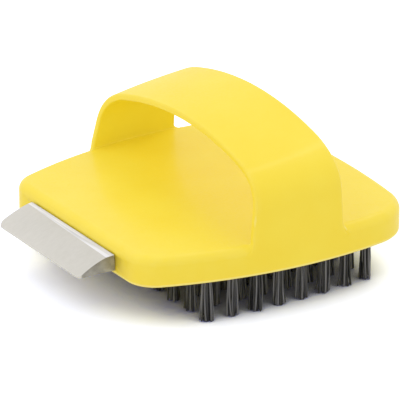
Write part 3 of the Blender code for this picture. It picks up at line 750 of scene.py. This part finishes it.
def tuftCentres(column, side):
    # rows share out the width between the middle rib and a line inside the bed's edge
    low, high = nodeBox(f"bristle_slice_{column + 1}_{side}")
    x = (low[0] + high[0]) / 2.0
    along = column / (tufts["columns"] - 1.0)
    margin = mix(*tufts["bedEdge"], along) + tufts["flatterThanSide"] * hump(along)
    outermost = float(halfWidthAt(x, bed["wall"] + bed["clearance"])) - tufts["reach"] - margin
    share = (np.arange(tufts["rows"]) + tufts["ribShare"]) / (tufts["rows"] - 1.0 + tufts["ribShare"])
    return x, mix(bed["ribWidth"] / 2.0, outermost, share)


def bedSlab(skin, x, rows, ends, side):
    # the slab's lower face is a row of cells, each a blend from its four-sided border to the
    # circle of its tuft's hole; the hole has a rounded lip, a straight wall and a flat bottom
    sign = sides[side]
    low, high = ends
    steps = tufts["holeSteps"]
    along = np.arange(steps) / steps
    walls = np.append(bed["ribWidth"] / 2.0, (rows[1:] + rows[:-1]) / 2.0)
    radius, lip = tufts["holeRadius"], tufts["holeLip"]
    turn = roundTurn(4 * steps, start=-0.75 * math.pi)  # from the border's first corner
    rounding = quarterRound(lip, tufts["holeLipSteps"])[::-1]
    profileR = np.append(radius + lip - rounding[:, 0], radius)
    profileZ = undersideZ + np.append(rounding[:, 1], tufts["holeDepth"])

    def outer(number, at):
        # half way to the next row, or the bed's curved edge
        if number == len(rows) - 1:
            return halfWidthAt(at, bed["wall"])
        return np.full(np.shape(at), walls[number + 1])

    there, back = mix(low, high, along), mix(high, low, along)
    borderX = np.concatenate([there, np.full(steps, high), back, np.full(steps, low)])
    borders = []
    for number, (start, y) in enumerate(zip(walls, rows)):
        borderY = np.concatenate([np.full(steps, start), mix(start, outer(number, high), along),
                                  outer(number, back), mix(outer(number, low), start, along)])
        border = skin.put(borderX, sign * borderY, undersideZ)
        holeX, holeY = circle((x, y), profileR[:, None], turn)
        hole = skin.put(holeX, sign * holeY, profileZ[:, None])
        skin.sheet(np.concatenate([border[None], hole]), closed=True)
        skin.fill(hole[-1])
        borders.append(border)
    borders = np.reshape(borders, (len(rows), 4, steps))
    loop = np.concatenate([borders[0, 0], *borders[:, 1], borders[-1, 2], *borders[::-1, 3]])
    points = np.concatenate(skin.points)[loop]
    top = skin.put(points[:, 0], points[:, 1], topZ - bed["roofUnderTop"] - bed["clearance"])
    skin.sheet(np.stack([loop, top]), closed=True)
    skin.fill(top)


def filamentSheaf(skin, x, rows, side, rng):
    # every filament of a slice at once. Roots: a sunflower spiral in the hole. Tips: the same
    # spiral opened out, plus a wander. Between them the line swings out as a power of the way
    # down, plus a bow that is a parabola. Each ring is a level circle round that line.
    count = tufts["filaments"]
    number = np.arange(count) + 0.5
    shape = (len(rows), count)
    spin = rng.uniform(0.0, math.tau, (len(rows), 1))
    out = np.sqrt(number / count)
    turn = number * goldenTurn + spin
    rootR = out * (tufts["rootRadius"] - tufts["thickness"] / 2.0)
    openness = rng.uniform(*tufts["openRange"], (len(rows), 1))
    tipR = out * (tufts["tipRadius"] - tufts["thickness"] / 2.0) * openness
    wander = rng.normal(0.0, tufts["wander"], (2, *shape))
    bow = rng.normal(0.0, tufts["bow"], (2, *shape))
    outer = tufts["outerShort"] * out ** 2 * rng.uniform(*tufts["outerShortRange"], shape)
    stray = tufts["strayShort"] * rng.uniform(0.0, 1.0, shape) ** 2
    uneven = tufts["unevenTips"] * (outer + stray)
    uneven = np.maximum(uneven - uneven.min(1, keepdims=True), 0.0)
    t = np.linspace(0.0, 1.0, tufts["segments"] + 1)
    swing = t ** tufts["swingPower"]

    def line(rootPart, tipPart, extra, curve):
        return (rootPart[..., None] + (tipPart - rootPart + extra)[..., None] * swing
                + curve[..., None] * hump(t))

    lineX = x + line(rootR * np.cos(turn), tipR * np.cos(turn), wander[0], bow[0])
    lineY = rows[:, None, None] + line(rootR * np.sin(turn), tipR * np.sin(turn), wander[1], bow[1])
    rootZ = undersideZ + tufts["holeDepth"] + tufts["rootsPastHole"]
    lineZ = mix(rootZ, uneven[..., None], t)
    radius = tufts["thickness"] / 2.0 * rng.uniform(*tufts["thicknessRange"], (*shape, 1, 1))
    ringX, ringY = circle((lineX[..., None], lineY[..., None]), radius, roundTurn(tufts["sides"]))
    grid = skin.put(ringX, sides[side] * ringY, lineZ[..., None])
    skin.sheet(grid, closed=True)
    for end in (0, -1):
        skin.add(grid[:, :, end].reshape(-1, tufts["sides"]).tolist())
    tint = np.broadcast_to(rng.uniform(0.0, 1.0, (*shape, 1, 1)), grid.shape)
    return tint.ravel()


def makeBristles(column, side, rng):
    x, rows = tuftCentres(column, side)
    pitch = (bedRear - bedFront - 2.0 * bed["clearance"]) / tufts["columns"]
    ends = (bedFront if column == 0 else x - pitch / 2.0,
            bedRear if column == tufts["columns"] - 1 else x + pitch / 2.0)
    skin = Skin()
    bedSlab(skin, x, rows, ends, side)
    plain = skin.count
    skin.material = 1
    tint = np.concatenate([np.zeros(plain), filamentSheaf(skin, x, rows, side, rng)])
    return skin.build(f"bristle_tufts_{column + 1}_{side}", attributes=[("tint", tint)])


# Finishes. Colours are linear, and every pattern reads Object coordinates in metres. Grain,
# wear-and-highlight and streaks are the values of the shared effects, with Scale in spots a metre.
yellowPlastic = {
    "deep": (0.955, 0.737, 0.053),
    "pale": (0.965, 0.767, 0.069),
    # The edge colour: partly wear, and partly a painted highlight on the edges and along the bottom
    # edge
    "rubbedAndHighlight": (0.98, 0.87, 0.36),
    "thrown": (1.0, 0.91, 0.04),    # on itself and on the floor
    "wearAndHighlight": {"Scale": 160.0, "Amount": 0.6},
    "roughness": (0.38, 0.50),
    "gloss": 0.2,
    "coat": {"Coat Weight": 0.2, "Coat Roughness": 0.17, "Coat IOR": 1.43},
    # A painted highlight: a pale band along the bottom edge
    "bottomHighlightBand": ((0.0, 0.2), (0.7, 1.3)),    # mm above the underside: it comes, and goes
    "bottomHighlightShare": 0.6,
    "grain": {"Scale": 2600.0},
    "grainDepth": 0.00004,
    "grainStrength": 0.25,
}
greyNylon = {
    "dark": (0.009, 0.009, 0.009),
    # Light: painted highlights along the filaments, as streaks, over each filament's own random tint
    "light": (0.28, 0.28, 0.31),
    "roughness": (0.32, 0.5),
    "grain": {"Scale": 4000.0},
    "streaks": {"Scale": 900.0, "Stretch": (1.0, 1.0, 0.06)},
    "highlightStreakRange": (0.45, 1.0),     # what streaks leave of the light colour
    "tintFrom": (0.35, 1.0),        # of the filaments' own tint
    "tintTo": (0.08, 1.0),
}
wedgeMetal = {
    "rubbedAndHighlight": (0.86, 0.85, 0.83),
    "wearAndHighlight": {"Scale": 500.0, "Amount": 0.6},
    "roughness": (0.40, 0.50),
    "metallic": 0.75,
    "grain": {"Scale": 900.0},
    "grainDepth": 0.00006,
    "grainStrength": 0.15,
    "streaks": {"Scale": 900.0, "Stretch": (0.12, 1.0, 1.0)},
    "streakShare": 0.15,
}
# Lit and shaded copies of one metal: the ends are darkened as painted shade, and the strip is lighter,
# partly polished and partly a painted highlight where it faces up
wedgeLitAndShadedColours = {
    "slope": {"dull": (0.61, 0.59, 0.54), "bright": (0.73, 0.705, 0.66)},
    "strip": {"dull": (0.64, 0.64, 0.67), "bright": (0.93, 0.925, 0.98), "streakShare": 0.8,
              "streaks": {"Scale": 900.0, "Stretch": (1.0, 0.04, 1.0)}},
    "ends": {"dull": (0.23, 0.22, 0.20), "bright": (0.28, 0.27, 0.25)},
}
zincPlate = {
    "dull": (0.48, 0.48, 0.47),
    "bright": (0.62, 0.62, 0.60),
    "rubbedAndHighlight": (0.75, 0.75, 0.74),
    "wearAndHighlight": {"Scale": 500.0, "Amount": 0.5},
    "roughness": (0.22, 0.38),
    "metallic": 1.0,
    "grain": {"Scale": 3000.0},
    "streaks": {"Scale": 3000.0, "Stretch": (1.0, 1.0, 0.2)},
    "streakShare": 0.35,
}
paleFloor = {
    "colour": (0.90, 0.86, 0.80),   # as the brush is lit by it
    "mirrored": (1.0, 1.0, 1.0),    # as metal shows it
    # As it is looked at: white in the open, and under the brush a painted shadow from ambient
    # occlusion deepens its shadow. Blue evens out the yellow that spills on it, most of all in front,
    # where no tuft holds it off.
    "frontOpen": (1.50, 1.55, 1.88),
    "tuftOpen": (1.50, 1.54, 1.78),
    "frontPaintedShadow": (0.20, 0.23, 1.50),
    "tuftPaintedShadow": (0.22, 0.23, 0.42),
    "frontEdge": (-0.045, -0.025),  # metres along X where front turns to tufts
    "paintedShadowReach": 0.03,
    "paintedShadowRange": (0.18, 0.51),
    "roughness": 0.9,
    "size": 6.0,                    # metres
}
# The shared effects. Scales are shares of the group's own; a range is spread over 0 to 1.
softPatches = {"scale": 0.016, "detail": 4.0, "roughness": 0.55, "range": (0.3, 0.7)}
fineSpots = {"scale": 0.35, "detail": 2.0, "roughness": 0.5, "range": (0.35, 0.65)}
skinRelief = {"detail": 5.0, "roughness": 0.6}
wornAndHighlitPatches = {"detail": 4.0, "roughness": 0.6, "range": (0.35, 0.65), "to": (0.3, 1.0)}
wornAndHighlitRidges = (0.505, 0.57)
streakNoise = {"detail": 3.0, "roughness": 0.5, "range": (0.35, 0.65)}


def nodeGroup(name, inputs, outputs):
    # an input without a value is a vector
    group = bpy.data.node_groups.new(name, "ShaderNodeTree")
    for word, value in inputs.items():
        kind = "NodeSocketVector" if value is None else "NodeSocketFloat"
        socket = group.interface.new_socket(word, in_out="INPUT", socket_type=kind)
        if value is not None:
            socket.default_value = value
    for word in outputs:
        group.interface.new_socket(word, in_out="OUTPUT", socket_type="NodeSocketFloat")
    return group, group.nodes.new("NodeGroupInput"), group.nodes.new("NodeGroupOutput")


def addNoise(tree, vector, scale, look):
    noise = tree.nodes.new("ShaderNodeTexNoise")
    noise.inputs["Detail"].default_value = look["detail"]
    noise.inputs["Roughness"].default_value = look["roughness"]
    tree.links.new(vector, noise.inputs["Vector"])
    tree.links.new(scale, noise.inputs["Scale"])
    if "range" not in look:
        return noise.outputs["Fac"]
    return addRange(tree, noise.outputs["Fac"], look["range"], look.get("to", (0.0, 1.0)))


def addMath(tree, operation, first, second):
    node = tree.nodes.new("ShaderNodeMath")
    node.operation = operation
    for socket, value in zip(node.inputs, (first, second)):
        if isinstance(value, (int, float)):
            socket.default_value = value
        else:
            tree.links.new(value, socket)
    return node.outputs["Value"]


def addAxis(tree, vector, axis):
    node = tree.nodes.new("ShaderNodeSeparateXYZ")
    tree.links.new(vector, node.inputs["Vector"])
    return node.outputs[axis]


def addRange(tree, value, fromRange=(0.0, 1.0), toRange=(0.0, 1.0)):
    node = tree.nodes.new("ShaderNodeMapRange")
    node.clamp = True
    tree.links.new(value, node.inputs["Value"])
    node.inputs["From Min"].default_value, node.inputs["From Max"].default_value = fromRange
    node.inputs["To Min"].default_value, node.inputs["To Max"].default_value = toRange
    return node.outputs["Result"]


def addMix(tree, share, first, second):
    node = tree.nodes.new("ShaderNodeMix")
    node.data_type = "RGBA"
    tree.links.new(share, node.inputs["Factor"])
    for name, value in (("A", first), ("B", second)):
        socket = [s for s in node.inputs if s.name == name and s.type == "RGBA"][0]
        if isinstance(value, tuple):
            socket.default_value = (*value, 1.0)
        else:
            tree.links.new(value, socket)
    return [s for s in node.outputs if s.type == "RGBA"][0]


def addEffects(tree, where, look, effects):
    # the outputs of each shared effect that the look has values for
    made = {}
    for word, group in effects.items():
        if word in look:
            node = tree.nodes.new("ShaderNodeGroup")
            node.node_tree = group
            tree.links.new(where, node.inputs["Vector"])
            for name, value in look[word].items():
                node.inputs[name].default_value = value
            made[word] = node.outputs
    return made


def makeGrainGroup():
    # Cloud: soft patches. Speckle: fine spots. Height: the skin's fine relief.
    group, start, end = nodeGroup("fineGrain", {"Vector": None, "Scale": 2000.0},
                                  ["Cloud", "Speckle", "Height"])
    vector, scale = start.outputs["Vector"], start.outputs["Scale"]
    for word, look in (("Cloud", softPatches), ("Speckle", fineSpots)):
        share = addMath(group, "MULTIPLY", scale, look["scale"])
        group.links.new(addNoise(group, vector, share, look), end.inputs[word])
    group.links.new(addNoise(group, vector, scale, skinRelief), end.inputs["Height"])
    return group


def makeWearAndHighlightGroup():
    # Mask: ridges of the shape, broken up by soft patches. It lightens edges as wear, and on the
    # yellow moulding also as a painted highlight
    group, start, end = nodeGroup("edgeWearAndHighlight", {"Vector": None, "Scale": 300.0, "Amount": 1.0},
                                  ["Mask"])
    geometry = group.nodes.new("ShaderNodeNewGeometry")
    ridge = addRange(group, geometry.outputs["Pointiness"], wornAndHighlitRidges)
    patches = addNoise(group, start.outputs["Vector"], start.outputs["Scale"], wornAndHighlitPatches)
    broken = addMath(group, "MULTIPLY", ridge, patches)
    group.links.new(addMath(group, "MULTIPLY", broken, start.outputs["Amount"]), end.inputs["Mask"])
    return group


def makeStreakGroup():
    # Mask: long streaks, as noise stretched along one direction
    group, start, end = nodeGroup("longStreaks", {"Vector": None, "Stretch": None, "Scale": 800.0},
                                  ["Mask"])
    stretch = group.nodes.new("ShaderNodeVectorMath")
    stretch.operation = "MULTIPLY"
    group.links.new(start.outputs["Vector"], stretch.inputs[0])
    group.links.new(start.outputs["Stretch"], stretch.inputs[1])
    streaks = addNoise(group, stretch.outputs["Vector"], start.outputs["Scale"], streakNoise)
    group.links.new(streaks, end.inputs["Mask"])
    return group


def newMaterial(name, metallic=0.0):
    material = bpy.data.materials.new(name)
    material.use_nodes = True
    tree = material.node_tree
    shader = tree.nodes["Principled BSDF"]
    shader.inputs["Metallic"].default_value = metallic
    where = tree.nodes.new("ShaderNodeTexCoord").outputs["Object"]
    return material, tree, shader, where


def setSurface(tree, shader, look, colour, grain):
    tree.links.new(colour, shader.inputs["Base Color"])
    tree.links.new(addRange(tree, grain["Speckle"], toRange=look["roughness"]),
                   shader.inputs["Roughness"])
    if "grainDepth" not in look:
        return
    bump = tree.nodes.new("ShaderNodeBump")
    bump.inputs["Strength"].default_value = look["grainStrength"]
    bump.inputs["Distance"].default_value = look["grainDepth"]
    tree.links.new(grain["Height"], bump.inputs["Height"])
    tree.links.new(bump.outputs["Normal"], shader.inputs["Normal"])


def makePlastic(effects):
    look = yellowPlastic
    material, tree, shader, where = newMaterial("yellow_moulding_fine")
    made = addEffects(tree, where, look, effects)
    colour = addMix(tree, made["grain"]["Cloud"], look["deep"], look["pale"])
    height = addAxis(tree, where, "Z")
    # A painted highlight: a pale band just above the underside
    comes, goes = (undersideZ + np.array(look["bottomHighlightBand"])) * mm
    bottomHighlight = addMath(tree, "MULTIPLY", addRange(tree, height, comes),
                      addRange(tree, height, goes, (look["bottomHighlightShare"], 0.0)))
    # Lighter edges: wear, and a painted highlight on the edges and along the bottom edge
    rubbedAndHighlight = addMath(tree, "MAXIMUM", made["wearAndHighlight"]["Mask"], bottomHighlight)
    colour = addMix(tree, rubbedAndHighlight, colour, look["rubbedAndHighlight"])
    thrown = tree.nodes.new("ShaderNodeLightPath").outputs["Is Diffuse Ray"]
    colour = addMix(tree, thrown, colour, look["thrown"])
    shader.inputs["Specular IOR Level"].default_value = look["gloss"]
    for word, value in look["coat"].items():
        shader.inputs[word].default_value = value
    setSurface(tree, shader, look, colour, made["grain"])
    return material


def makeNylon(effects):
    look = greyNylon
    material, tree, shader, where = newMaterial("grey_filament")
    made = addEffects(tree, where, look, effects)
    tint = tree.nodes.new("ShaderNodeAttribute")
    tint.attribute_name = "tint"
    # Painted highlights: streaks of the light colour along the filaments, scaled by each filament's
    # random tint
    share = addMath(tree, "MULTIPLY",
                    addRange(tree, tint.outputs["Fac"], look["tintFrom"], look["tintTo"]),
                    addRange(tree, made["streaks"]["Mask"], toRange=look["highlightStreakRange"]))
    colour = addMix(tree, share, look["dark"], look["light"])
    setSurface(tree, shader, look, colour, made["grain"])
    return material


def makeMetal(name, look, effects):
    material, tree, shader, where = newMaterial(name, look["metallic"])
    made = addEffects(tree, where, look, effects)
    share = look["streakShare"]
    patches = addMath(tree, "ADD", addMath(tree, "MULTIPLY", made["streaks"]["Mask"], share),
                      addRange(tree, made["grain"]["Cloud"], toRange=(0.0, 1.0 - share)))
    colour = addMix(tree, patches, look["dull"], look["bright"])
    colour = addMix(tree, made["wearAndHighlight"]["Mask"], colour, look["rubbedAndHighlight"])
    setSurface(tree, shader, look, colour, made["grain"])
    return material


# Studio: pale floor, white surroundings, a long key light high behind the rear end, and a wide
# fill high over the far side of the scraper. Directions from the middle, metres and watts.
studio = {
    "ambient": 0.92,
    "key": {"direction": (0.44, 0.12, 0.87), "distance": 0.9, "size": (0.09, 0.6), "power": 0.68},
    "fill": {"direction": (-0.56, 0.30, 0.77), "distance": 1.0, "size": (0.7, 0.7), "power": 0.9},
}


def seenDirectly(tree):
    # 1 for camera rays, and 1 for these, glossy and transmission rays, so that metal shows the
    # same white surroundings
    path = tree.nodes.new("ShaderNodeLightPath")
    camera = path.outputs["Is Camera Ray"]
    seen = addMath(tree, "MAXIMUM", camera, path.outputs["Is Glossy Ray"])
    return camera, addMath(tree, "MAXIMUM", seen, path.outputs["Is Transmission Ray"])


def makeFloor():
    half = paleFloor["size"] / 2.0
    mesh = bpy.data.meshes.new("floor")
    mesh.from_pydata([(-half, -half, 0), (half, -half, 0), (half, half, 0), (-half, half, 0)], [],
                     [(0, 1, 2, 3)])
    floor = place("floor", mesh)
    material, tree, shader, where = newMaterial("pale_floor")
    # A painted shadow: ambient occlusion greys the floor's seen colour under and beside the brush
    paintedShadowOcclusion = tree.nodes.new("ShaderNodeAmbientOcclusion")
    paintedShadowOcclusion.inputs["Distance"].default_value = paleFloor["paintedShadowReach"]
    openness = addRange(tree, paintedShadowOcclusion.outputs["AO"], paleFloor["paintedShadowRange"])
    among = addRange(tree, addAxis(tree, where, "X"), paleFloor["frontEdge"])
    paintedShadowColour = addMix(tree, among, paleFloor["frontPaintedShadow"], paleFloor["tuftPaintedShadow"])
    openColour = addMix(tree, among, paleFloor["frontOpen"], paleFloor["tuftOpen"])
    seenColour = addMix(tree, openness, paintedShadowColour, openColour)
    camera, seen = seenDirectly(tree)
    colour = addMix(tree, seen, paleFloor["colour"], paleFloor["mirrored"])
    colour = addMix(tree, camera, colour, seenColour)
    tree.links.new(colour, shader.inputs["Base Color"])
    shader.inputs["Roughness"].default_value = paleFloor["roughness"]
    shader.inputs["Specular IOR Level"].default_value = 0.0
    mesh.materials.append(material)


def makeWorld():
    world = bpy.data.worlds.new("studio")
    world.use_nodes = True
    tree = world.node_tree
    background = tree.nodes["Background"]
    background.inputs["Color"].default_value = (1.0, 1.0, 1.0, 1.0)
    seen = seenDirectly(tree)[1]
    tree.links.new(addRange(tree, seen, toRange=(studio["ambient"], 1.0)),
                   background.inputs["Strength"])
    bpy.context.scene.world = world


def softbox(name, direction, distance, size, power):
    light = bpy.data.lights.new(name, "AREA")
    light.shape = "RECTANGLE"
    light.size, light.size_y = size
    light.energy = power
    lamp = place(name, light)
    aim = Vector(direction).normalized()
    lamp.location = aim * distance
    lamp.rotation_euler = aim.to_track_quat("Z", "Y").to_euler()


def dress(thing, materials, slot, *nodes):
    for material in materials:
        thing.data.materials.append(material)
    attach(thing, "root")
    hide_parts(*nodes)


def main():
    makeCamera()
    makeFloor()
    makeWorld()
    for name in ("key", "fill"):
        softbox(name, **studio[name])
    bpy.context.scene.view_settings.view_transform = "Standard"
    print("camera and studio ready")

    effects = {"grain": makeGrainGroup(), "wearAndHighlight": makeWearAndHighlightGroup(), "streaks": makeStreakGroup()}
    plastic = makePlastic(effects)
    nylon = makeNylon(effects)
    wedge = [makeMetal(f"wedge_{part}", {**wedgeMetal, **wedgeLitAndShadedColours[part]}, effects)
             for part in scraperLitAndShadedFaces]
    zinc = makeMetal("zinc_plate", zincPlate, effects)
    print("finishes ready")

    dress(makeBody(), [plastic], "moulding", "body")
    print("body moulded")
    dress(makeScraper(), wedge, "scraper", "scraper")
    for side in sides:
        dress(makeScrew(side), [zinc], "screw", f"scraper_screw_{side}")
    print("scraper and screws made")
    rng = np.random.default_rng(tufts["seed"])
    for side in sides:
        for column in range(tufts["columns"]):
            dress(makeBristles(column, side, rng), [plastic, nylon], "bristle",
                  f"bristle_slice_{column + 1}_{side}")
    print("bristles set")


main()
